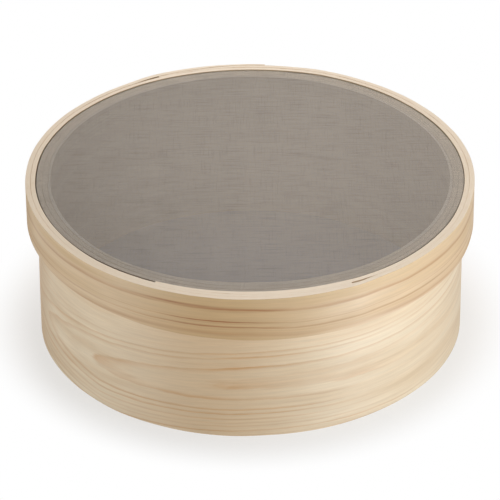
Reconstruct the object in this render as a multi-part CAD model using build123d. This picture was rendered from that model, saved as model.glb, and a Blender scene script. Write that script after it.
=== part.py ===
from build123d import *
import math
import os

# Drum sieve, also called a tamis. Fine wire cloth is drawn over the top of a bent-wood drum,
# and a bent-wood hoop, driven down over the cloth's skirt, holds it tight.
# Millimetres, +Z up. The origin is the middle of the drum's bottom rim, on the surface that
# the sieve stands on. Angles are degrees, anticlockwise seen from above, from +X.
# The front of the sieve is -Y.

# Drum: two boards, one bent inside the other
drum_diameter = 228.7
drum_height = 88.5
drum_board = 2.85
drum_edge_round = 0.7

# Support ring: a low board inside the top of the drum, which widens the cloth's seat
ring_board = 2.85
ring_height = 12.0

# Scarfs: the flush joints that close the drum's boards and the support ring
scarf_length = 60.0
scarf_nose = 1.0
outer_scarf_angle = 118.0
inner_scarf_angle = 20.0
ring_scarf_angle = 152.0

# Wire cloth
cloth_thickness = 0.25
cloth_skirt = 18.0

# Hoop: two boards, each lapped over its own start
hoop_height = 24.3
hoop_board = 2.6
hoop_above_cloth = 0.4

# The hoop's inner board starts against the cloth and runs anticlockwise
inner_start_angle = -115.6
inner_lap = 102.8
inner_lap_middle = 2.3
inner_tip = 1.3
inner_climb = 76.0

# The hoop's outer board starts against the inner one and runs clockwise
outer_start_angle = 115.0
outer_lap = 60.2
outer_tip = 1.0
outer_climb = 19.0
outer_drop = 21.0

# Clearances
glue_line = 0.1
cloth_slack = 0.05
overrun = 2.0

# Points worked out along each gentle change of a board's radius
ramp_steps = 8
full_turn = 360.0

# Places that follow from the sizes above
drum_radius = drum_diameter / 2
inner_board_radius = drum_radius - drum_board - glue_line
ring_radius = inner_board_radius - drum_board - glue_line
cloth_underside = drum_height + cloth_slack
cloth_top = cloth_underside + cloth_thickness
cloth_inner_radius = drum_radius + cloth_slack
cloth_outer_radius = cloth_inner_radius + cloth_thickness
hoop_top = cloth_top + hoop_above_cloth
hoop_bottom = hoop_top - hoop_height
hoop_inner_radius = cloth_outer_radius + cloth_slack
hoop_middle_radius = hoop_inner_radius + hoop_board + glue_line


def turn_of(length, radius):
    """Degrees that a length takes up round a circle."""
    return math.degrees(length / radius)


def on_circle(radius, angle):
    """The point at an angle on a circle about the sieve's axis."""
    turn = math.radians(angle)
    return Vector(radius * math.cos(turn), radius * math.sin(turn))


def ramp(angle_1, radius_1, angle_2, radius_2):
    """A gentle change of radius that leaves and meets its circles in line with them."""
    points = []
    for step in range(ramp_steps + 1):
        share = step / ramp_steps
        eased_share = share * share * (3 - 2 * share)
        angle = angle_1 + share * (angle_2 - angle_1)
        points.append(on_circle(radius_1 + eased_share * (radius_2 - radius_1), angle))
    way = math.copysign(1, angle_2 - angle_1)
    heading_1 = on_circle(way, angle_1).rotate(Axis.Z, 90)
    heading_2 = on_circle(way, angle_2).rotate(Axis.Z, 90)
    return Spline(*points, tangents=(heading_1, heading_2))


def face_line(knots):
    """A board's face seen from above, from (angle, radius) knots: an arc where the radius
    stays, a ramp where it changes, and a straight shoulder where only the radius changes."""
    edges = []
    for (angle_1, radius_1), (angle_2, radius_2) in zip(knots, knots[1:]):
        same_radius = math.isclose(radius_1, radius_2)
        if math.isclose(angle_1, angle_2):
            if not same_radius:
                edges.append(Line(on_circle(radius_1, angle_1), on_circle(radius_2, angle_2)))
        elif same_radius:
            edges.append(CenterArc((0, 0), radius_1, angle_1, angle_2 - angle_1))
        else:
            edges.append(ramp(angle_1, radius_1, angle_2, radius_2))
    return edges


def bent_board(inner_knots, outer_knots, bottom, height):
    """A board bent to the given inner and outer faces, standing on its edge."""
    start_cut = Line(on_circle(inner_knots[0][1], inner_knots[0][0]),
                     on_circle(outer_knots[0][1], outer_knots[0][0]))
    end_cut = Line(on_circle(inner_knots[-1][1], inner_knots[-1][0]),
                   on_circle(outer_knots[-1][1], outer_knots[-1][0]))
    edges = [start_cut, *face_line(outer_knots), end_cut, *face_line(inner_knots)]
    outline = Face(Wire(edges))
    return Pos(0, 0, bottom) * extrude(outline, height, dir=(0, 0, 1))


def scarfed_board(radius, thickness, start_angle, bottom, height):
    """A board closed by a flush scarf: each end is planed to a blunt nose, and the two
    lie on each other inside the board's own thickness."""
    inside = radius - thickness
    scarf_turn = turn_of(scarf_length, radius)
    end_angle = start_angle + full_turn + scarf_turn
    nose_gap = turn_of(glue_line, radius)
    inner_knots = [
        (start_angle, inside),
        (start_angle + full_turn - nose_gap, inside),
        (start_angle + full_turn - nose_gap, inside + scarf_nose + glue_line),
        (end_angle, radius - scarf_nose),
    ]
    outer_knots = [
        (start_angle, inside + scarf_nose),
        (start_angle + scarf_turn + nose_gap, radius - scarf_nose - glue_line),
        (start_angle + scarf_turn + nose_gap, radius),
        (end_angle, radius),
    ]
    return bent_board(inner_knots, outer_knots, bottom, height)


def drum_outer_strip():
    """The drum's outer board; its top outer edge is eased where the cloth turns down."""
    board = scarfed_board(drum_radius, drum_board, outer_scarf_angle, 0, drum_height)
    top_arcs = board.edges().group_by(Axis.Z)[-1].filter_by(GeomType.CIRCLE)
    outer_arc = top_arcs.sort_by(lambda edge: edge.radius)[-1]
    return fillet(outer_arc, drum_edge_round)


def drum_inner_strip():
    """The drum's inner board, as tall as the outer one."""
    return scarfed_board(inner_board_radius, drum_board, inner_scarf_angle, 0, drum_height)


def mesh_support_ring():
    """The low board inside the top of the drum, level with the drum's top."""
    bottom = drum_height - ring_height
    return scarfed_board(ring_radius, ring_board, ring_scarf_angle, bottom, ring_height)


def plug(radius, bottom, top, top_round):
    """A round block with an eased top edge."""
    block = Pos(0, 0, (bottom + top) / 2) * Cylinder(radius, top - bottom)
    return fillet(block.edges().group_by(Axis.Z)[-1], top_round)


def wire_cloth():
    """The cloth: a taut disc that turns down over the drum's edge into a skirt."""
    fold_inside = drum_edge_round + cloth_slack
    skirt_end = cloth_top - cloth_skirt
    outside = plug(cloth_outer_radius, skirt_end, cloth_top, fold_inside + cloth_thickness)
    inside = plug(cloth_inner_radius, skirt_end - overrun, cloth_underside, fold_inside)
    return outside - inside


def inner_lap_bulge():
    """How far the hoop's inner board stands out over its own start, as (angle, distance)
    knots: where it begins to climb, the start, the middle of the lap, and its outer end."""
    start = inner_start_angle + full_turn
    lap_turn = turn_of(inner_lap, hoop_inner_radius)
    return [
        (start - turn_of(inner_climb, hoop_inner_radius), 0),
        (start, inner_tip + glue_line),
        (start + lap_turn / 2, 2 * inner_lap_middle - hoop_board + glue_line),
        (start + lap_turn, inner_tip + glue_line),
    ]


def hoop_inner_strip():
    """The hoop's inner board. Both its ends are feathered over the length of the lap, the
    start on its outside and the end, which lies over it, on its inside."""
    bulge = inner_lap_bulge()
    start = inner_start_angle
    lap_turn = turn_of(inner_lap, hoop_inner_radius)
    outside = hoop_inner_radius + hoop_board
    start_face = [
        (start, hoop_inner_radius + inner_tip),
        (start + lap_turn / 2, hoop_inner_radius + inner_lap_middle),
        (start + lap_turn, outside),
    ]
    inner_knots = [
        (start, hoop_inner_radius),
        (bulge[0][0], hoop_inner_radius),
        *[(angle + full_turn, radius + glue_line) for angle, radius in start_face],
    ]
    outer_knots = [
        *start_face,
        *[(angle, outside + distance) for angle, distance in bulge],
    ]
    return bent_board(inner_knots, outer_knots, hoop_bottom, hoop_height)


def hoop_outer_strip():
    """The hoop's outer board. It follows the inner board's bulge, leaves a slit where it
    comes down past that board's end, and laps over its own start at the back."""
    start = outer_start_angle
    lap_turn = turn_of(outer_lap, hoop_middle_radius)
    climb_turn = turn_of(outer_climb, hoop_middle_radius)
    inner_end = inner_lap_bulge()[-1][0] - full_turn
    drop_turn = turn_of(outer_drop, hoop_middle_radius)
    bulge = [(angle - full_turn, distance) for angle, distance in reversed(inner_lap_bulge())]
    over_inner_board = [(inner_end + drop_turn, 0), *bulge]
    rise = outer_tip + glue_line
    inner_knots = [
        (start, hoop_middle_radius),
        *[(angle, hoop_middle_radius + distance) for angle, distance in over_inner_board],
        (start - full_turn + climb_turn, hoop_middle_radius),
        (start - full_turn, hoop_middle_radius + rise),
        (start - full_turn - lap_turn, hoop_middle_radius + hoop_board + glue_line),
    ]
    outside = hoop_middle_radius + hoop_board
    outer_knots = [
        (start, hoop_middle_radius + outer_tip),
        (start - lap_turn, outside),
        *[(angle, outside + distance) for angle, distance in over_inner_board],
        (start - full_turn + climb_turn, outside),
        (start - full_turn, outside + rise),
        (start - full_turn - lap_turn, outside + rise),
    ]
    return bent_board(inner_knots, outer_knots, hoop_bottom, hoop_height)


pieces = {
    "drum_outer_strip": drum_outer_strip(),
    "drum_inner_strip": drum_inner_strip(),
    "mesh_support_ring": mesh_support_ring(),
    "wire_cloth": wire_cloth(),
    "hoop_inner_strip": hoop_inner_strip(),
    "hoop_outer_strip": hoop_outer_strip(),
}

os.makedirs("parts", exist_ok=True)
for name, piece in pieces.items():
    piece.label = name
    export_step(piece, f"parts/{name}.step")
    print(f"{name}: {piece.volume:.0f} mm3")
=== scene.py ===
import math
import bpy
import bmesh
from mathutils import Matrix, Vector, noise


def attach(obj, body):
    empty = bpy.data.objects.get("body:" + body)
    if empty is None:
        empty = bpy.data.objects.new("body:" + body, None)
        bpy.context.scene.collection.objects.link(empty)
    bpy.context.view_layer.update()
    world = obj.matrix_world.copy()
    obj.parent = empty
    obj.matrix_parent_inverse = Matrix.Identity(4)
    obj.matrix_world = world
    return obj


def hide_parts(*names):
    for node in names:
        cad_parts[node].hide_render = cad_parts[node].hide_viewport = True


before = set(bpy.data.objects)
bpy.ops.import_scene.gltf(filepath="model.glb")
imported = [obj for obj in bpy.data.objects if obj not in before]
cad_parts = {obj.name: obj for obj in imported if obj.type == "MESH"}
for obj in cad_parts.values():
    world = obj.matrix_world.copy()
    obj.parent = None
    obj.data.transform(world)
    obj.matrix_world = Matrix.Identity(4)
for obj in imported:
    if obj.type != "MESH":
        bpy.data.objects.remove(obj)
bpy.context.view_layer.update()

# Drum sieve, or tamis: a drum of two bent boards with a low support ring inside its top,
# wire cloth drawn over it, and a hoop of two lapped boards that holds the cloth's skirt.
# Sizes are millimetres until a finished mesh is brought to metres. Angles are degrees,
# anticlockwise from above, from +X, and the front is -Y. The sizes are the solids', but for
# drum_edge_round, cloth_fold, inner_start_angle and inner_lap, which are nearer the photo.

METRES = 0.001

drum_radius = 114.35
drum_height = 88.5
drum_board = 2.85
drum_edge_round = 0.2
inner_board_radius = 111.4
ring_radius = 108.45
ring_board = 2.85
ring_height = 12.0
scarf_length = 60.0
scarf_nose = 1.0
outer_scarf_angle = 118.0
inner_scarf_angle = 20.0
ring_scarf_angle = 152.0

cloth_thickness = 0.25
cloth_top = 88.8
cloth_outer_radius = 114.65
cloth_fold = 0.45
cloth_skirt = 18.0

hoop_top = 89.2
hoop_height = 24.3
hoop_board = 2.6
hoop_inner_radius = 114.7
hoop_middle_radius = 117.4
inner_start_angle = -114.8
inner_lap = 101.2
inner_lap_middle = 2.3
inner_tip = 1.3
inner_climb = 76.0
outer_start_angle = 115.0
outer_lap = 60.2
outer_tip = 1.0
outer_climb = 19.0
outer_drop = 21.0

# Sandpaper has eased the boards' edges by these radii
board_edge_round = 0.3
hoop_edge_round = 0.25

# The solids leave a glue line between boards. Here each board is let in over most of it,
# so that only a hair line shows.
glue_line = 0.1
let_in = 0.06

# Bent wood is never quite round. These say how far the whole sieve stands out from its
# circles, and how far the hoop stands off the cloth, by degrees round from the front, to the
# right.
out_of_round = [(-180, 0.0), (-168, 0.2), (-150, 0.7), (-125, 0.5), (-108, 0.0), (-90, -0.8),
                (-66, -1.0), (-36, -0.6), (-14, 0.0), (0, 0.0), (20, 0.25), (38, 0.65),
                (60, 0.3), (80, 0.0), (100, 0.0), (125, -0.3), (145, -0.1), (160, 0.4),
                (172, 0.0), (180, 0.0)]
hoop_stands_off = [(-180, 0.0), (-110, 0.1), (-90, 0.25), (-44, 0.4), (-27, 0.1), (-20, 0.0),
                   (6, 0.0), (18, 0.3), (30, 0.65), (40, 0.8), (50, 0.65), (62, 0.5),
                   (80, 0.0), (100, 0.0), (120, 0.1), (160, 0.1), (172, 0.0), (180, 0.0)]

# The support ring was planed thinner towards the back: its share of its usual thickness
ring_thickness = [(-180, 0.3), (-140, 0.32), (-110, 0.5), (-90, 0.56), (-70, 0.72), (-40, 0.58),
                  (-22, 0.9), (-8, 1.3), (0, 1.28), (18, 1.0), (32, 0.75), (62, 0.7), (95, 0.55),
                  (120, 0.44), (150, 0.3), (180, 0.3)]

# The drum's foot has spread at the front left and drawn in at the front right
foot_spreads = [(-180, 0.0), (-115, 0.2), (-90, 0.6), (-68, 1.0), (-50, 1.0), (-36, 1.5),
                (-20, 1.0), (-8, 0.9), (6, 0.1), (20, 0.0), (38, -0.8), (60, -0.3),
                (80, 0.0), (180, 0.0)]

# The hoop's boards weren't sawn to one width all along: their lower edge lies this far below
# its usual level
hoop_lower_edge = [(-180, -0.4), (-75, -1.7), (-45, -1.5), (-18, 0.0), (10, 0.7), (75, 0.6),
                   (180, -0.4)]

# Use has worn the hoop's top edge in long and short waves: (depth, length, width)
hoop_wear = [(0.25, 23, 9), (0.25 / 3, 3.5, 2)]

# The taut cloth still gives a little inside this radius, unevenly, in swells of this length
cloth_give = 0.35
cloth_give_radius = 104
swell_length = 45

# How finely the shapes are drawn: the angle between a board's cross-sections, how near two
# points are one, and the angle between faces past which an edge looks sharp
board_step = 1.5
same_point = 0.001
sharp_angle = 38.0
cloth_turn_steps = 240
fold_steps = 5

front_angle = -90.0
full_turn = 360.0


def turn_of(length, radius):
    """Degrees that a length takes up round a circle."""
    return math.degrees(length / radius)


def eased(share):
    """0 to 1 with a gentle start and end."""
    return share * share * (3 - 2 * share)


def along_path(path, place, gently=False):
    """The value at a place along (place, value) knots, with even or gentle changes from knot
    to knot."""
    for (place_1, value_1), (place_2, value_2) in zip(path, path[1:]):
        if place <= place_2:
            share = max(0, (place - place_1) / (place_2 - place_1))
            share = eased(share) if gently else share
            return value_1 + share * (value_2 - value_1)
    return path[-1][1]


def round_the_sieve(path, angle):
    """The value at an angle along knots that are given by degrees round from the front."""
    from_front = (angle - front_angle + full_turn / 2) % full_turn - full_turn / 2
    return along_path(path, from_front, gently=True)


# Bent boards

def face_radius(knots, angle, later_side):
    """A bent board's face from (angle, radius) knots. At a shoulder, where only the radius
    changes, later_side says which of its two radii is wanted."""
    rounding = 1e-9
    pairs = list(zip(knots, knots[1:]))
    for (angle_1, radius_1), (angle_2, radius_2) in reversed(pairs) if later_side else pairs:
        if not math.isclose(angle_1, angle_2):
            share = (angle - angle_1) / (angle_2 - angle_1)
            if -rounding <= share <= 1 + rounding:
                return radius_1 + eased(min(max(share, 0), 1)) * (radius_2 - radius_1)


def board_stations(inner_knots, outer_knots):
    """(angle, inner radius, outer radius) along a bent board, two at each shoulder."""
    angles = sorted({angle for angle, radius in inner_knots + outer_knots})
    if inner_knots[0][0] > inner_knots[-1][0]:
        angles.reverse()
    stations = []
    for angle_1, angle_2 in zip(angles, angles[1:] + angles[-1:]):
        steps = max(1, math.ceil(abs(angle_2 - angle_1) / board_step))
        for step in range(steps):
            angle = angle_1 + step / steps * (angle_2 - angle_1)
            before, after = [(face_radius(inner_knots, angle, later_side),
                              face_radius(outer_knots, angle, later_side))
                             for later_side in (False, True)]
            stations.append((angle, *before))
            if math.dist(before, after) > same_point:
                stations.append((angle, *after))
    return stations


def board_section(mesh, thickness, height, edge_round, top_outer_round, is_hoop, rows):
    """A board's cross-section: one face, upright, with its depth along Y and so many rows of
    points up its sides. The outer edge of its foot is crisp, and so is a hoop's inner top
    edge, next to the cloth. The other edges are eased."""
    foot_inside, foot_outside, top_outside, top_inside = [
        mesh.verts.new((0, depth, level)) for depth, level in
        ((0, 0), (thickness, 0), (thickness, height), (0, height))]
    mesh.faces.new((foot_inside, foot_outside, top_outside, top_inside))
    bmesh.ops.bevel(mesh, geom=[top_outside], offset=top_outer_round, segments=4,
                    profile=0.5, affect="VERTICES", material=-1)
    inside = [foot_inside] if is_hoop else [foot_inside, top_inside]
    bmesh.ops.bevel(mesh, geom=inside, offset=edge_round, segments=3,
                    profile=0.5, affect="VERTICES", material=-1)
    tall = [edge for edge in mesh.edges
            if abs(edge.verts[0].co.z - edge.verts[1].co.z) > height / 2]
    bmesh.ops.subdivide_edges(mesh, edges=tall, cuts=rows - 1)
    bmesh.ops.dissolve_faces(mesh, faces=mesh.faces)


def bend_board(name, knots, bottom, height, log, rows, edge_round=board_edge_round,
               top_outer_round=board_edge_round, is_hoop=False, thinning=None):
    """A board bent to its inner and outer faces: its cross-section is drawn along the bend.
    Each point keeps its place on the flat board, as attribute board, and in the tree that
    the board was sawn from, as attribute log, so that the grain bends with the wood. A
    hoop's board stands off the cloth here and there, its lower edge slants, and its top edge
    is worn. thinning gives a board's share of its usual thickness."""
    stations = board_stations(*knots)
    thickness = max(outer - inner for angle, inner, outer in stations)
    face_middle = sum(outer for angle, inner, outer in stations) / len(stations)
    outermost = max(outer for angle, inner, outer in stations)
    # The front, on the turn that the board's middle lies on
    middle_angle = (stations[0][0] + stations[-1][0]) / 2
    front = front_angle + full_turn * round((middle_angle - front_angle) / full_turn)
    mesh = bmesh.new()
    section = mesh.verts.layers.float_vector.new("section")
    board = mesh.verts.layers.float_vector.new("board")
    tree = mesh.verts.layers.float_vector.new("log")
    board_section(mesh, thickness, height, edge_round, top_outer_round, is_hoop, rows)
    for vert in mesh.verts:
        vert[section] = vert.co

    def place(verts, station):
        """Moves a copy of the cross-section to its station along the bend."""
        angle, inner, outer = station
        turn = math.radians(angle)
        along = math.radians(angle - front) * face_middle
        sway = round_the_sieve(out_of_round, angle)
        sway += round_the_sieve(hoop_stands_off, angle) if is_hoop else 0
        share = round_the_sieve(thinning, angle) if thinning else 1
        spread_out = 0 if is_hoop else round_the_sieve(foot_spreads, angle)
        dip = round_the_sieve(hoop_lower_edge, angle) if is_hoop else 0
        for vert in verts:
            depth, level = vert[section].yz
            inward = thickness - depth
            radius = inner + depth if depth < thickness / 2 else outer - inward
            radius = sway + outermost - share * (outermost - radius)
            radius += spread_out * eased(1 - (bottom + level) / drum_height)
            wear = sum(wave_depth * abs(noise.noise((along / length, depth / width, bottom)))
                       for wave_depth, length, width in hoop_wear) if is_hoop else 0
            level -= wear if level > height / 2 else dip * (1 - 2 * level / height)
            vert.co = (radius * math.cos(turn), radius * math.sin(turn), bottom + level)
            vert[board] = (along, inward, bottom + level)
            vert[tree] = (along, along_path(log["depth"], along) - inward,
                          bottom + level - along_path(log["level"], along))

    start_end = end = list(mesh.faces)
    place(mesh.verts, stations[0])
    for station in stations[1:]:
        made = bmesh.ops.extrude_face_region(mesh, geom=end)["geom"]
        if end is not start_end:
            bmesh.ops.delete(mesh, geom=end, context="FACES_ONLY")
        end = [item for item in made if isinstance(item, bmesh.types.BMFace)]
        place([item for item in made if isinstance(item, bmesh.types.BMVert)], station)
    mesh.verts.layers.float_vector.remove(section)
    bmesh.ops.remove_doubles(mesh, verts=mesh.verts, dist=same_point)
    return finish_piece(name, mesh)


def finish_piece(name, mesh):
    """Makes an object of a finished mesh, in metres, smooth but for its sharp edges."""
    bmesh.ops.recalc_face_normals(mesh, faces=mesh.faces)
    for face in mesh.faces:
        face.smooth = True
    for edge in mesh.edges:
        edge.smooth = edge.calc_face_angle(0) < math.radians(sharp_angle)
    bmesh.ops.scale(mesh, vec=(METRES,) * 3, verts=mesh.verts)
    data = bpy.data.meshes.new(name)
    mesh.to_mesh(data)
    mesh.free()
    piece = bpy.data.objects.new(name, data)
    bpy.context.scene.collection.objects.link(piece)
    shading = piece.modifiers.new("even shading", "WEIGHTED_NORMAL")
    shading.keep_sharp = True
    return piece


def scarfed_knots(radius, thickness, start_angle):
    """The faces of a board closed by a flush scarf, whose blunt noses lie on each other."""
    inside = radius - thickness
    scarf_turn = turn_of(scarf_length, radius)
    end_angle = start_angle + full_turn + scarf_turn
    nose_gap = turn_of(glue_line, radius)
    inner_knots = [
        (start_angle, inside),
        (start_angle + full_turn - nose_gap, inside),
        (start_angle + full_turn - nose_gap, inside + scarf_nose + glue_line - let_in),
        (end_angle, radius - scarf_nose - let_in),
    ]
    outer_knots = [
        (start_angle, inside + scarf_nose),
        (start_angle + scarf_turn + nose_gap, radius - scarf_nose - glue_line),
        (start_angle + scarf_turn + nose_gap, radius),
        (end_angle, radius),
    ]
    return inner_knots, outer_knots


def inner_lap_bulge():
    """How far the hoop's inner board stands out over its own start."""
    start = inner_start_angle + full_turn
    lap_turn = turn_of(inner_lap, hoop_inner_radius)
    return [
        (start - turn_of(inner_climb, hoop_inner_radius), 0),
        (start, inner_tip + glue_line),
        (start + lap_turn / 2, 2 * inner_lap_middle - hoop_board + glue_line),
        (start + lap_turn, inner_tip + glue_line),
    ]


def hoop_inner_knots():
    """The faces of the hoop's inner board, which runs anticlockwise from its start."""
    bulge = inner_lap_bulge()
    start = inner_start_angle
    lap_turn = turn_of(inner_lap, hoop_inner_radius)
    outside = hoop_inner_radius + hoop_board
    start_face = [
        (start, hoop_inner_radius + inner_tip),
        (start + lap_turn / 2, hoop_inner_radius + inner_lap_middle),
        (start + lap_turn, outside),
    ]
    seam = glue_line - let_in
    inner_knots = [
        (start, hoop_inner_radius),
        (bulge[0][0], hoop_inner_radius),
        *[(angle + full_turn, radius + seam) for angle, radius in start_face],
    ]
    outer_knots = [*start_face, *[(angle, outside + bulging) for angle, bulging in bulge]]
    return inner_knots, outer_knots


def hoop_outer_knots():
    """The faces of the hoop's outer board, which runs clockwise over the inner one."""
    start = outer_start_angle
    lap_turn = turn_of(outer_lap, hoop_middle_radius)
    climb_turn = turn_of(outer_climb, hoop_middle_radius)
    drop_turn = turn_of(outer_drop, hoop_middle_radius)
    bulge = [(angle - full_turn, bulging) for angle, bulging in reversed(inner_lap_bulge())]
    over_inner_board = [(bulge[0][0] + drop_turn, 0), *bulge]
    rise = outer_tip + glue_line
    inside = hoop_middle_radius - let_in
    outside = hoop_middle_radius + hoop_board
    inner_knots = [
        (start, inside),
        *[(angle, inside + bulging) for angle, bulging in over_inner_board],
        (start - full_turn + climb_turn, inside),
        (start - full_turn, inside + rise),
        (start - full_turn - lap_turn, inside + hoop_board + glue_line),
    ]
    outer_knots = [
        (start, hoop_middle_radius + outer_tip),
        (start - lap_turn, outside),
        *[(angle, outside + bulging) for angle, bulging in over_inner_board],
        (start - full_turn + climb_turn, outside),
        (start - full_turn, outside + rise),
        (start - full_turn - lap_turn, outside + rise),
    ]
    return inner_knots, outer_knots


# Where each board lay in its tree: how far its outer face was from the pith, and the level
# of the pith on the board, at places along the board from the front. Where the face comes
# nearer to the pith, the growth rings open into the flame shapes of flat-sawn softwood.

drum_outer_log = {
    "depth": [(-310, 33.0), (-230, 34.5), (-150, 31.6), (-112, 29.4), (-88, 27.95), (-64, 27.4),
              (-40, 27.0), (-18, 26.45), (0, 26.2), (44, 26.0), (92, 25.4), (116, 25.1),
              (150, 24.3), (200, 22.5), (270, 25.0), (350, 29.0), (480, 32.0)],
    "level": [(-310, 36.0), (-150, 27.0), (-88, 27.3), (-64, 29.0), (-40, 30.6), (-18, 32.0),
              (0, 32.8), (22, 33.3), (92, 32.6), (150, 34.0), (220, 40.0), (300, 36.0),
              (480, 30.0)],
}
drum_inner_log = {
    "depth": [(0, 31.0), (200, 27.0), (330, 30.0), (520, 24.0), (800, 30.0)],
    "level": [(0, 52.0), (250, 46.0), (500, 55.0), (800, 48.0)],
}
ring_log = {
    "depth": [(0, 46.0), (400, 42.0), (900, 47.0)],
    "level": [(0, 50.0), (400, 46.0), (900, 52.0)],
}
hoop_inner_log = {
    "depth": [(-200, 42.0), (150, 40.0), (500, 43.0), (800, 41.0)],
    "level": [(-200, 127.0), (300, 129.0), (800, 126.0)],
}
hoop_outer_log = {
    "depth": [(-390, 41.0), (-200, 39.0), (-60, 40.0), (90, 40.0), (200, 41.5), (430, 39.0)],
    "level": [(-390, 126.0), (-100, 129.9), (0, 130.5), (22, 129.0), (35, 128.7), (65, 129.0),
              (95, 128.7), (125, 128.0), (430, 128.0)],
}


def make_boards():
    """The drum's two boards, the support ring and the hoop's two boards, by node."""
    ring_bottom = drum_height - ring_height
    hoop_bottom = hoop_top - hoop_height
    return {
        "drum_outer_strip": bend_board(
            "drum_outer_board", scarfed_knots(drum_radius, drum_board, outer_scarf_angle),
            0, drum_height, drum_outer_log, rows=8, top_outer_round=drum_edge_round),
        "drum_inner_strip": bend_board(
            "drum_inner_board",
            scarfed_knots(inner_board_radius, drum_board, inner_scarf_angle),
            0, drum_height, drum_inner_log, rows=8),
        "mesh_support_ring": bend_board(
            "support_ring", scarfed_knots(ring_radius, ring_board, ring_scarf_angle),
            ring_bottom, ring_height, ring_log, rows=2, thinning=ring_thickness),
        "hoop_inner_strip": bend_board(
            "hoop_inner_board", hoop_inner_knots(), hoop_bottom, hoop_height, hoop_inner_log,
            rows=4, edge_round=hoop_edge_round, top_outer_round=hoop_edge_round, is_hoop=True),
        "hoop_outer_strip": bend_board(
            "hoop_outer_board", hoop_outer_knots(), hoop_bottom, hoop_height, hoop_outer_log,
            rows=4, edge_round=hoop_edge_round, top_outer_round=hoop_edge_round, is_hoop=True),
    }


# Wire cloth

def make_cloth():
    """The taut cloth: flat to its seat on the drum, folded down over the edge into a skirt.
    Its outline is spun round the sieve's axis, and the sheet then gets its thickness. Each
    point keeps its place on the flat disc that the cloth was cut as, as attribute cut."""
    mesh = bmesh.new()
    flat_edge = cloth_outer_radius - cloth_fold
    # Its points lie closer together towards the edge, where the cloth bends more
    outline = [(radius, cloth_top) for radius in
               (0, 15, 30, 45, 60, 73, 84, 93, 100, 104, 106.5, 109, 111.5, flat_edge)]
    for step in range(1, fold_steps + 1):
        turn = math.radians(90 * step / fold_steps)
        outline.append((flat_edge + cloth_fold * math.sin(turn),
                        cloth_top - cloth_fold * (1 - math.cos(turn))))
    outline += [(cloth_outer_radius, cloth_top - drop) for drop in (5, 11, cloth_skirt)]
    reach = mesh.verts.layers.float.new("reach")
    cut = mesh.verts.layers.float_vector.new("cut")
    verts = [mesh.verts.new((radius, 0, level)) for radius, level in outline]
    edges = [mesh.edges.new(pair) for pair in zip(verts, verts[1:])]
    for vert, next_vert in zip(verts, verts[1:]):
        next_vert[reach] = vert[reach] + math.dist(vert.co, next_vert.co)
    bmesh.ops.spin(mesh, geom=verts + edges, cent=(0, 0, 0), axis=(0, 0, 1), dvec=(0, 0, 0),
                   angle=math.tau, steps=cloth_turn_steps, use_merge=True,
                   use_duplicate=False)
    bmesh.ops.remove_doubles(mesh, verts=mesh.verts, dist=same_point)
    bmesh.ops.recalc_face_normals(mesh, faces=mesh.faces)
    for vert in mesh.verts:
        vert[cut] = vert[reach] * Vector((vert.co.x, vert.co.y, 0)).normalized()
        give = cloth_give * max(0, 1 - (vert[reach] / cloth_give_radius) ** 2)
        swell = noise.noise((vert.co.x / swell_length, vert.co.y / swell_length, 3))
        vert.co.z -= give * (0.5 + 0.5 * swell)
        angle = math.degrees(math.atan2(vert.co.y, vert.co.x))
        sway = 1 + round_the_sieve(out_of_round, angle) / cloth_outer_radius
        vert.co.x, vert.co.y = vert.co.x * sway, vert.co.y * sway
    piece = finish_piece("wire_cloth_sheet", mesh)
    sheet = piece.modifiers.new("cloth thickness", "SOLIDIFY")
    sheet.thickness = cloth_thickness * METRES
    sheet.offset = -1
    sheet.material_offset = 1
    return piece


# Materials

# The numbers of a Mix node's sockets for colours
SHARE, FIRST, SECOND, MIXED = 0, 6, 7, 2

# Nearly all values of a noise lie in this span
noise_span = {"From Min": 0.3, "From Max": 0.7}


def paint(hex_colour):
    """An sRGB hex colour as the linear colour that a shader takes."""
    parts = [int(hex_colour[i:i + 2], 16) / 255 for i in (1, 3, 5)]
    return (*[p / 12.92 if p <= 0.04045 else ((p + 0.055) / 1.055) ** 2.4 for p in parts], 1)


def clear_nodes(owner):
    """The node tree of a new material or world, made empty."""
    owner.use_nodes = True
    owner.node_tree.nodes.clear()
    return owner.node_tree


def add(tree, kind, inputs=(), output=0, **settings):
    """Adds a node with its settings, and with values or links for its inputs, by name, by
    number or in their order. Returns the output that is asked for."""
    made = tree.nodes.new(kind)
    for name, value in settings.items():
        setattr(made, name, value)
    by_socket = inputs if isinstance(inputs, dict) else dict(enumerate(inputs))
    for socket, value in by_socket.items():
        if isinstance(value, bpy.types.NodeSocket):
            tree.links.new(value, made.inputs[socket])
        else:
            made.inputs[socket].default_value = value
    return made.outputs[output] if made.outputs else None


def with_stops(ramp, stops):
    """Gives a colour ramp its (place, value) stops between 0 and 1, and returns it."""
    elements = ramp.node.color_ramp.elements
    while len(elements) < len(stops):
        elements.new(1)
    for element, (place, value) in zip(elements, stops):
        element.position = place
        element.color = (value, value, value, 1)
    return ramp


def shaded(tree, colour, level):
    """A colour made lighter or darker by a number."""
    grey = add(tree, "ShaderNodeCombineColor", [level, level, level])
    return add(tree, "ShaderNodeMix", {SHARE: 1.0, FIRST: colour, SECOND: grey},
               output=MIXED, data_type="RGBA", blend_type="MULTIPLY")


def stretched_noise(tree, coordinates, grain_mm, detail=2.0, rough=0.5, shift=0.0):
    """Noise with a grain of its own size along each axis, in millimetres."""
    scaled = add(tree, "ShaderNodeVectorMath",
                 [coordinates, [1 / grain for grain in grain_mm], (shift,) * 3],
                 operation="MULTIPLY_ADD")
    return add(tree, "ShaderNodeTexNoise", {"Vector": scaled, "Scale": 1.0,
                                            "Detail": detail, "Roughness": rough})


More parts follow.
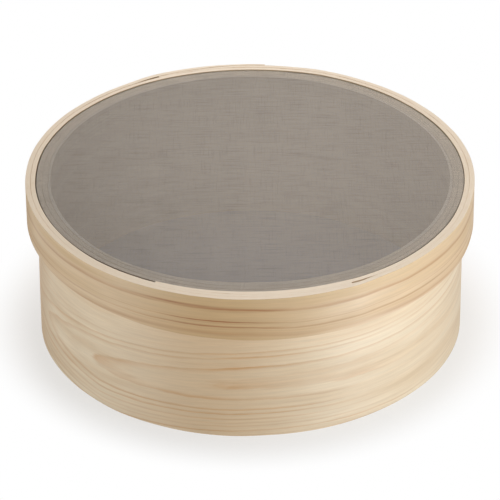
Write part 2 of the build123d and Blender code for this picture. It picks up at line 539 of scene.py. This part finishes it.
def streak(tree, board, along, level, half_length, half_height, strength):
    """A long soft-ended streak at a place on a board's face."""
    scale = (1 / half_length, 0, 1 / half_height)
    shift = (-along / half_length, 0, -level / half_height)
    place = add(tree, "ShaderNodeVectorMath", [board, scale, shift], operation="MULTIPLY_ADD")
    reach = add(tree, "ShaderNodeVectorMath", [place], output="Value", operation="LENGTH")
    return add(tree, "ShaderNodeMapRange", {"Value": reach, "To Min": strength, "To Max": 0.0},
               interpolation_type="SMOOTHSTEP")


def ring_stops(peaks, rise, fall):
    """Growth rings as ramp stops. Each (place, darkness) peak is the end of a ring: the wood
    darkens over rise before it and is pale again after fall."""
    least_step = 0.001
    stops = []
    for place, darkness in peaks:
        start = place - rise
        if stops:
            start = max(start, stops[-1][0] + least_step)
        stops += [(start, 0.0), (place, darkness), (place + fall, 0.0)]
    return stops


def softwood(name, pale, warm, late, sawn, rings, ring_width, first_ring, contrast, sawn_painted_light,
             shows=((0.0, 1.0), (1.0, 1.0)), streaks=(), painted_shade_places=()):
    """Planed bare softwood: darker late wood draws fine amber lines on pale early wood, and
    the cut fibres give it a silky sheen. Its growth rings are cylinders about the tree's
    pith. rings says how far the wood darkens across the rings, outwards from the pith:
    ring_width is their whole width, first_ring the radius where they start, and contrast how
    dark they get. handling says how much paler its sawn edges are painted per metre to the
    right and the back, as painted light where more light falls. shows says how strongly the
    rings show from the foot of the drum to its top, streaks where they are darker or paler,
    and painted_shade_places where along the board, and over what half length, its wood is
    painted the warmer, darker colour as painted shade."""
    material = bpy.data.materials.new(name)
    tree = clear_nodes(material)
    log = add(tree, "ShaderNodeAttribute", output="Vector", attribute_name="log")
    board = add(tree, "ShaderNodeAttribute", output="Vector", attribute_name="board")
    across = add(tree, "ShaderNodeVectorMath", [log, (0, 1, 1)], operation="MULTIPLY")
    radius = add(tree, "ShaderNodeVectorMath", [across], output="Value", operation="LENGTH")

    # Rings wander by a few tenths of a millimetre over a hand's width, and waver more finely
    swings = [(0.5, (150, 26, 26), 2, 0), (0.75, (14, 2.6, 2.6), 3, 9)]
    for swing, grain, detail, shift in swings:
        wander = stretched_noise(tree, log, grain, detail=detail, shift=shift)
        aside = add(tree, "ShaderNodeMath", [wander, 0.5], operation="SUBTRACT")
        radius = add(tree, "ShaderNodeMath", [aside, swing, radius], operation="MULTIPLY_ADD")
    past_first = add(tree, "ShaderNodeMath", [radius, first_ring], operation="SUBTRACT")
    turns = add(tree, "ShaderNodeMath", [past_first, ring_width], operation="DIVIDE")
    across_rings = add(tree, "ShaderNodeMath", [turns], operation="FRACT")
    latewood = with_stops(add(tree, "ShaderNodeValToRGB", [across_rings]), rings)

    # They show unevenly, by their level and in patches about as long as a finger
    level = add(tree, "ShaderNodeSeparateXYZ", [board], output="Z")
    height_share = add(tree, "ShaderNodeMath", [level, drum_height], operation="DIVIDE")
    showing = with_stops(add(tree, "ShaderNodeValToRGB", [height_share]), shows)
    patches = add(tree, "ShaderNodeMapRange", {
        "Value": stretched_noise(tree, log, (60, 5, 5), shift=4), **noise_span,
        "To Min": 0.45, "To Max": 1.25})
    strength = add(tree, "ShaderNodeMath", [showing, patches], operation="MULTIPLY")
    dark = add(tree, "ShaderNodeMath", [latewood, strength], operation="MULTIPLY")
    dark = add(tree, "ShaderNodeMath", [dark, contrast], operation="MULTIPLY")

    # Streaks darken or fade the rings and the short flecks between them
    fleck_share = 0.35
    flecks = add(tree, "ShaderNodeMapRange", {
        "Value": stretched_noise(tree, log, (16, 0.9, 0.9), detail=3, shift=31), **noise_span})
    flecks = add(tree, "ShaderNodeMath", [flecks, fleck_share], operation="MULTIPLY")
    late_or_fleck = add(tree, "ShaderNodeMath", [latewood, flecks], operation="MAXIMUM")
    for spot in streaks:
        dark = add(tree, "ShaderNodeMath",
                   [streak(tree, board, *spot), late_or_fleck, dark],
                   operation="MULTIPLY_ADD")
    dark = add(tree, "ShaderNodeMath", [dark, 1.0], operation="MULTIPLY", use_clamp=True)

    # Broad warm and pale bands, a few millimetres high and a hand long
    whole_height = 10 * drum_height
    warm_bands_and_painted_shade = add(tree, "ShaderNodeMapRange", {
        "Value": stretched_noise(tree, log, (120, 7, 7), shift=21), **noise_span,
        "To Max": 0.75})
    # Painted shade: at the given places along the board, at the front and on the left, the wood
    # is painted the warmer, darker colour
    for middle, half_length in painted_shade_places:
        painted_shade_place = streak(tree, board, middle, 0, half_length, whole_height, 1.0)
        warm_bands_and_painted_shade = add(tree, "ShaderNodeMath", [warm_bands_and_painted_shade, painted_shade_place], operation="MAXIMUM")
    colour = add(tree, "ShaderNodeMix", {SHARE: warm_bands_and_painted_shade, FIRST: paint(pale), SECOND: paint(warm)},
                 output=MIXED, data_type="RGBA")
    colour = add(tree, "ShaderNodeMix", {SHARE: dark, FIRST: colour, SECOND: paint(late)},
                 output=MIXED, data_type="RGBA")

    # Fibres are about 0.03 mm wide, too fine to show: drawn 1.2 mm wide and 36 mm long
    fibre = stretched_noise(tree, log, (36, 1.2, 1.2), detail=4, rough=0.75)
    fibre_shade = add(tree, "ShaderNodeMapRange", {"Value": fibre, **noise_span,
                                                   "To Min": 0.915, "To Max": 1.06})
    colour = shaded(tree, colour, fibre_shade)

    # The top and bottom edges are sawn, not planed: paler, with the fibres torn up
    middle_level = 0.95
    normal = add(tree, "ShaderNodeNewGeometry", output="Normal")
    upright = add(tree, "ShaderNodeSeparateXYZ", [normal], output="Z")
    upright = add(tree, "ShaderNodeMath", [upright], operation="ABSOLUTE")
    edge = add(tree, "ShaderNodeMapRange", {"Value": upright, "From Min": 0.5,
                                            "From Max": 0.95})
    torn = add(tree, "ShaderNodeMapRange", {
        "Value": stretched_noise(tree, board, (6, 0.3, 0.3), detail=3), **noise_span,
        "To Min": 0.65, "To Max": 1.0})
    place = add(tree, "ShaderNodeTexCoord", output="Object")
    # Painted light: the sawn edges are painted paler towards the right and the back, where more
    # light falls, and darker towards the front and the left
    painted_light_level = add(tree, "ShaderNodeVectorMath", [place, sawn_painted_light], output="Value",
                  operation="DOT_PRODUCT")
    painted_light_level = add(tree, "ShaderNodeMath", [painted_light_level, middle_level], operation="ADD")
    sawn = shaded(tree, paint(sawn), painted_light_level)
    torn_edge = add(tree, "ShaderNodeMath", [edge, torn], operation="MULTIPLY")
    colour = add(tree, "ShaderNodeMix", {SHARE: torn_edge, FIRST: colour, SECOND: sawn},
                 output=MIXED, data_type="RGBA")

    # Light glances off the fibres in a sheet across them, so the gloss spreads upwards
    relief = 0.05 * METRES
    fibre_way = add(tree, "ShaderNodeVectorMath", [(0, 0, 1), place],
                    operation="CROSS_PRODUCT")
    across_fibres = add(tree, "ShaderNodeVectorMath", [normal, fibre_way],
                        operation="CROSS_PRODUCT")
    height = add(tree, "ShaderNodeMath", [fibre, 0.6, latewood], operation="MULTIPLY_ADD")
    bump = add(tree, "ShaderNodeBump", {"Strength": 0.5, "Distance": relief,
                                        "Height": height})
    roughness = add(tree, "ShaderNodeMapRange", {"Value": fibre, **noise_span,
                                                 "To Min": 0.50, "To Max": 0.60})
    shader = add(tree, "ShaderNodeBsdfPrincipled", {
        "Base Color": colour, "Roughness": roughness, "IOR": 1.8, "Anisotropic": 0.7,
        "Tangent": across_fibres, "Normal": bump})
    add(tree, "ShaderNodeOutputMaterial", [shader])
    return material


def woven_steel(name, crossways):
    """One of the two sets of wires in plain-woven stainless cloth: those that run from left
    to right, or from front to back. Fine drawn wire is bright, and its round crowns spread
    the light into a soft grey. They are 0.42 mm apart, and drawn 0.18 mm thick where real
    ones are 0.12 mm, because from a low view the wires' own height closes the gaps."""
    material = bpy.data.materials.new(name)
    tree = clear_nodes(material)
    spacing, wire_share, relief = 0.42, 0.43, 0.1 * METRES
    cut = add(tree, "ShaderNodeAttribute", output="Vector", attribute_name="cut")
    sides = add(tree, "ShaderNodeSeparateXYZ", [cut]).node.outputs
    across, along = (sides["Y"], sides["X"]) if crossways else (sides["X"], sides["Y"])

    # Wires stray a little from their places, over a few centimetres
    wire_grain = (45, 3, 3) if crossways else (3, 45, 3)
    stray = stretched_noise(tree, cut, wire_grain, detail=1)
    stray = add(tree, "ShaderNodeMath", [stray, 0.5], operation="SUBTRACT")
    stray = add(tree, "ShaderNodeMath", [stray, 0.6], operation="MULTIPLY")
    row = add(tree, "ShaderNodeMath", [across, spacing], operation="DIVIDE")
    row = add(tree, "ShaderNodeMath", [row, stray], operation="ADD")
    nearest = add(tree, "ShaderNodeMath", [row, 0.5], operation="ADD")
    wire = add(tree, "ShaderNodeMath", [nearest], operation="FLOOR")
    off_middle = add(tree, "ShaderNodeMath", [row, 0.5], operation="PINGPONG")
    off_middle = add(tree, "ShaderNodeMath", [off_middle, wire_share / 2], operation="DIVIDE")
    solid = add(tree, "ShaderNodeMath", [off_middle, 1.0], operation="LESS_THAN")

    # Each wire passes over one and under the next of the other set
    turn = add(tree, "ShaderNodeMath", [along, spacing], operation="DIVIDE")
    turn = add(tree, "ShaderNodeMath", [turn, wire], operation="ADD")
    turn = add(tree, "ShaderNodeMath", [turn, math.pi], operation="MULTIPLY")
    wave = add(tree, "ShaderNodeMath", [turn], operation="COSINE")
    crown = add(tree, "ShaderNodeMath", [off_middle, off_middle], operation="MULTIPLY")
    crown = add(tree, "ShaderNodeMath", [1.0, crown], operation="SUBTRACT")
    height = add(tree, "ShaderNodeMath", [wave, 0.5, crown], operation="MULTIPLY_ADD")
    bump = add(tree, "ShaderNodeBump", {"Strength": 0.3, "Distance": relief,
                                        "Height": height})

    # Here and there a few wires are duller for a centimetre or two, mostly those from left
    # to right
    dull_grain, dullest = ((17, 0.36, 3), 0.75) if crossways else ((0.28, 17, 3), 0.65)
    cloud = stretched_noise(tree, cut, (40, 40, 40), shift=12)
    lengths = stretched_noise(tree, cut, dull_grain, detail=3)
    tone = add(tree, "ShaderNodeMath", [cloud, 0.5], operation="MULTIPLY")
    tone = add(tree, "ShaderNodeMath", [lengths, 0.5, tone], operation="MULTIPLY_ADD")
    tone = add(tree, "ShaderNodeMapRange", {"Value": tone, **noise_span,
                                            "To Min": 0.3, "To Max": 1.0})
    colour = add(tree, "ShaderNodeMix",
                 {SHARE: tone, FIRST: paint("#a29c95"), SECOND: paint("#b2aca5")},
                 output=MIXED, data_type="RGBA")
    dull = add(tree, "ShaderNodeMapRange", {"Value": lengths, "From Min": 0.52,
                                            "From Max": 0.66})
    dull = add(tree, "ShaderNodeMath", [dull, dullest], operation="MULTIPLY")
    colour = add(tree, "ShaderNodeMix", {SHARE: dull, FIRST: colour, SECOND: paint("#6f6b66")},
                 output=MIXED, data_type="RGBA")

    # Painted light and shade: the cloth is drawn lighter towards the right and the back, where
    # more light falls, and darker towards the left and the front. It is also a little darker
    # towards its edge
    middle_bright, darker_outwards, painted_light_sideways = 0.94, -0.0008, (0.0013, 0.0014, 0)
    bright = add(tree, "ShaderNodeVectorMath", [cut, painted_light_sideways], output="Value",
                 operation="DOT_PRODUCT")
    outwards = add(tree, "ShaderNodeVectorMath", [cut], output="Value", operation="LENGTH")
    outwards = add(tree, "ShaderNodeMath", [outwards, darker_outwards, middle_bright],
                   operation="MULTIPLY_ADD")
    bright = add(tree, "ShaderNodeMath", [bright, outwards], operation="ADD")
    roughness = add(tree, "ShaderNodeMapRange", {"Value": cloud, **noise_span,
                                                 "To Min": 0.42, "To Max": 0.5})
    shader = add(tree, "ShaderNodeBsdfPrincipled", {
        "Base Color": shaded(tree, colour, bright), "Metallic": 0.9, "Roughness": roughness,
        "Alpha": solid, "Normal": bump})
    add(tree, "ShaderNodeOutputMaterial", [shader])
    return material


# The drum's rings, across 16.4 mm of the tree, and the hoop's, across 26 mm: the hoop's are
# broad and soft next to its top edge, with two fine ones near its foot
drum_rings = ring_stops([(0.043, 0.4), (0.107, 0.5), (0.213, 0.9), (0.293, 0.15),
                         (0.384, 0.85), (0.476, 1.0), (0.598, 0.6), (0.695, 0.4),
                         (0.780, 0.5), (0.912, 1.0)], rise=0.040, fall=0.012)
drum_ring_width, hoop_ring_width = 16.4, 26.0
hoop_rings = [(0.0, 0.0), (0.15, 0.1), (0.186, 0.12), (0.192, 0.3), (0.200, 0.25),
              (0.214, 0.45), (0.226, 0.6), (0.246, 0.7), (0.266, 0.12), (0.40, 0.15),
              (0.425, 0.25), (0.435, 0.5), (0.444, 0.2), (0.455, 0.35), (0.468, 1.0),
              (0.480, 0.25), (0.500, 0.2), (0.508, 0.4), (0.517, 0.15), (0.545, 0.3),
              (0.560, 0.75), (0.572, 1.0), (0.584, 0.2), (0.612, 0.2), (0.622, 0.45),
              (0.632, 0.2), (0.66, 0.4), (0.707, 0.8), (0.75, 0.3), (1.0, 0.0)]

# Planed spruce is pale cream, with fine amber rings. Each streak is (place along the board
# from the front, level, half length, half height, strength).
drum_spruce = softwood(
    "drum board, planed spruce", pale="#f0dec2", warm="#dabf9b", late="#c28434",
    sawn="#f6ead4", rings=drum_rings, ring_width=drum_ring_width, first_ring=24.6,
    contrast=0.56, sawn_painted_light=(0.5, 1.2, 0),
    shows=[(0.0, 1.0), (0.20, 1.0), (0.235, 0.55), (0.275, 0.55),
           (0.31, 1.0), (0.40, 0.7), (0.57, 0.7), (0.62, 0.3), (1.0, 0.3)],
    streaks=[(-9, 42.6, 42, 3.4, 0.44), (2, 49.0, 36, 3.4, 0.42), (-15, 30.0, 20, 2.4, 0.5),
             (-28, 22.8, 34, 2.0, 0.3), (78, 29.5, 44, 6.0, 0.45), (-25, 14.0, 70, 2.0, 0.1),
             (-95, 56.0, 75, 18.0, -0.22), (105, 16, 76, 26.0, -0.75)],
    # Painted shade at the front and on the left
    painted_shade_places=[(-24, 88), (-162, 46)])

# The drum's inner board is drawn a darker grey-brown, with faint rings
inner_spruce = softwood(
    "drum inner board, grey-brown spruce", pale="#bca786", warm="#b09772", late="#a8865a",
    sawn="#f6ead4", rings=drum_rings, ring_width=drum_ring_width, first_ring=24.6,
    contrast=0.15, sawn_painted_light=(0.5, 1.2, 0))
ring_spruce = softwood(
    "support ring, planed spruce", pale="#bfac8c", warm="#b39b77", late="#96764d",
    sawn="#f5efe3", rings=drum_rings, ring_width=drum_ring_width, first_ring=0.4,
    contrast=0.42, sawn_painted_light=(0.5, 1.2, 0))

# Planed red pine is warmer, with broad, strong, red-brown rings
hoop_pine = softwood(
    "hoop board, planed red pine", pale="#ead2b1", warm="#d1b181", late="#9e5a16",
    sawn="#f8eddc", rings=hoop_rings, ring_width=hoop_ring_width, first_ring=56.0,
    contrast=0.72, sawn_painted_light=(0.42, 0.38, 0),
    shows=[(0.80, 0.7), (0.83, 0.55), (0.86, 0.55), (0.90, 1.0)],
    streaks=[(-8, 82.2, 46, 2.2, 0.8), (-40, 83.8, 34, 1.0, 1.5),
             (-16, 74.8, 40, 1.6, 0.85), (-14, 71.8, 44, 1.6, 0.6)],
    # Painted shade at the front and on the left
    painted_shade_places=[(-20, 98), (-172, 38)])

# The cloth's top face shows one set of wires and its underside the other
wires_across = woven_steel("wires from left to right, drawn stainless steel", True)
wires_back = woven_steel("wires from front to back, drawn stainless steel", False)


def dress(piece, materials, node):
    """Gives a piece its materials and the place of its node."""
    for material in materials:
        piece.data.materials.append(material)
    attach(piece, "root")
    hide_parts(node)


boards = make_boards()
dress(boards["drum_outer_strip"], [drum_spruce], "drum_outer_strip")
dress(boards["drum_inner_strip"], [inner_spruce], "drum_inner_strip")
dress(boards["mesh_support_ring"], [ring_spruce], "mesh_support_ring")
dress(boards["hoop_inner_strip"], [hoop_pine], "hoop_inner_strip")
dress(boards["hoop_outer_strip"], [hoop_pine], "hoop_outer_strip")
cloth = make_cloth()
dress(cloth, [wires_across, wires_back], "wire_cloth")


# Floor, light and camera. Sizes are metres from here on.

def seen_share(tree, rays, mirrored_share):
    """1 where the camera sees a surface, also through the cloth, and a share of that where it
    sees the surface mirrored."""
    mirrored = add(tree, "ShaderNodeMath", [rays["Is Glossy Ray"], mirrored_share],
                   operation="MULTIPLY")
    indirect = add(tree, "ShaderNodeMath", [mirrored, rays["Is Transmission Ray"]],
                   operation="MAXIMUM")
    return add(tree, "ShaderNodeMath", [rays["Is Camera Ray"], indirect],
               operation="MAXIMUM")


def make_floor():
    """A floor of matt white paper that keeps the sieve's shadow and turns to plain white
    further out. Inside the drum it is painted a cooler, darker grey: painted shade under the
    sieve, where it is seen through the cloth."""
    floor_radius, floor_sides = 30, 64
    under_cloth_radius = 0.112
    near_radius, white_radius, near_glow = 0.116, 0.15, 0.6
    mirrored_share, bounced_glow = 0.2, 0.7
    mesh = bmesh.new()
    bmesh.ops.create_circle(mesh, cap_ends=True, cap_tris=True, segments=floor_sides,
                            radius=floor_radius)
    data = bpy.data.meshes.new("floor")
    mesh.to_mesh(data)
    mesh.free()
    floor = bpy.data.objects.new("floor", data)
    bpy.context.scene.collection.objects.link(floor)
    material = bpy.data.materials.new("white floor paper")
    tree = clear_nodes(material)
    place = add(tree, "ShaderNodeTexCoord", output="Object")
    reach = add(tree, "ShaderNodeVectorMath", [place], output="Value", operation="LENGTH")
    far = add(tree, "ShaderNodeMapRange",
              {"Value": reach, "From Min": near_radius, "From Max": white_radius,
               "To Min": near_glow, "To Max": 1.0}, interpolation_type="SMOOTHSTEP")
    rays = add(tree, "ShaderNodeLightPath").node.outputs
    glow = add(tree, "ShaderNodeMath", [far, seen_share(tree, rays, mirrored_share)],
               operation="MULTIPLY")
    bounced = add(tree, "ShaderNodeMath", [rays["Is Diffuse Ray"], bounced_glow],
                  operation="MULTIPLY")
    glow = add(tree, "ShaderNodeMath", [glow, bounced], operation="MAXIMUM")
    under_cloth = add(tree, "ShaderNodeMath", [reach, under_cloth_radius],
                      operation="LESS_THAN")
    beyond_cloth = add(tree, "ShaderNodeMath", [1.0, under_cloth], operation="SUBTRACT")
    glow = add(tree, "ShaderNodeMath", [glow, beyond_cloth], operation="MULTIPLY")
    # Painted shade: inside the drum the paper is painted a cooler, darker grey, for the shade
    # under the sieve
    shade = add(tree, "ShaderNodeMix",
                {SHARE: under_cloth, FIRST: paint("#f7f7f7"), SECOND: paint("#98a2b8")},
                output=MIXED, data_type="RGBA")
    paper = add(tree, "ShaderNodeBsdfDiffuse", {"Color": shade})
    white = add(tree, "ShaderNodeEmission", {"Color": paint("#ffffff"), "Strength": 1.0})
    mix = add(tree, "ShaderNodeMixShader", [glow, paper, white])
    add(tree, "ShaderNodeOutputMaterial", [mix])
    data.materials.append(material)


def make_world(ambient, colour, mirrored_share):
    """White where it is seen or mirrored, and a soft even light elsewhere."""
    world = bpy.data.worlds.new("studio")
    bpy.context.scene.world = world
    tree = clear_nodes(world)
    rays = add(tree, "ShaderNodeLightPath").node.outputs
    seen = seen_share(tree, rays, mirrored_share)
    soft = add(tree, "ShaderNodeBackground", {"Color": paint(colour), "Strength": ambient})
    white = add(tree, "ShaderNodeBackground", {"Color": paint("#ffffff"), "Strength": 1.0})
    mix = add(tree, "ShaderNodeMixShader", [seen, soft, white])
    add(tree, "ShaderNodeOutputWorld", [mix])


def make_softbox(name, azimuth, distance, height, wide, tall, watts, colour):
    """A softbox aimed at the middle of the sieve. Azimuth is degrees right of the front,
    distance is from the sieve's axis, and height is above the floor."""
    lamp = bpy.data.lights.new(name, "AREA")
    lamp.shape = "RECTANGLE"
    lamp.size, lamp.size_y = wide, tall
    lamp.energy = watts
    lamp.color = paint(colour)[:3]
    box = bpy.data.objects.new(name, lamp)
    bpy.context.scene.collection.objects.link(box)
    side = math.radians(azimuth)
    aim = Vector((0, 0, 0.05))
    box.location = (math.sin(side) * distance, -math.cos(side) * distance, height)
    box.rotation_mode = "QUATERNION"
    box.rotation_quaternion = (box.location - aim).to_track_quat("Z", "Y")


def make_camera():
    """The photograph's view: a long lens 1.95 m away, looking 32 degrees down and rolled by
    half a degree. Its angles are radians."""
    stand = (0, -1.6330, 1.0703)
    look_down, roll = 0.56205, -0.0089
    lens = bpy.data.cameras.new("camera")
    lens.sensor_width = 36.0
    lens.lens = 257.12
    lens.clip_start, lens.clip_end = 0.1, 100.0
    camera = bpy.data.objects.new("camera", lens)
    bpy.context.scene.collection.objects.link(camera)
    camera.matrix_world = (Matrix.Translation(stand)
                           @ Matrix.Rotation(math.pi / 2 - look_down, 4, "X")
                           @ Matrix.Rotation(roll, 4, "Z"))
    bpy.context.scene.camera = camera


make_floor()
make_world(ambient=0.225, colour="#fcf4e4", mirrored_share=0.5)
make_softbox("right strip softbox", azimuth=45, distance=0.34, height=0.115,
             wide=0.14, tall=0.24, watts=0.4, colour="#f6fbff")
make_softbox("left strip softbox", azimuth=-47, distance=0.34, height=0.11,
             wide=0.14, tall=0.24, watts=0.145, colour="#f4fbff")
make_softbox("top softbox", azimuth=170, distance=0.4, height=1.35,
             wide=0.6, tall=0.6, watts=5.9, colour="#ffebdb")
make_softbox("back softbox", azimuth=180, distance=0.35, height=0.75,
             wide=0.5, tall=0.3, watts=1.7, colour="#f6fbff")
make_camera()
bpy.context.scene.view_settings.view_transform = "Standard"
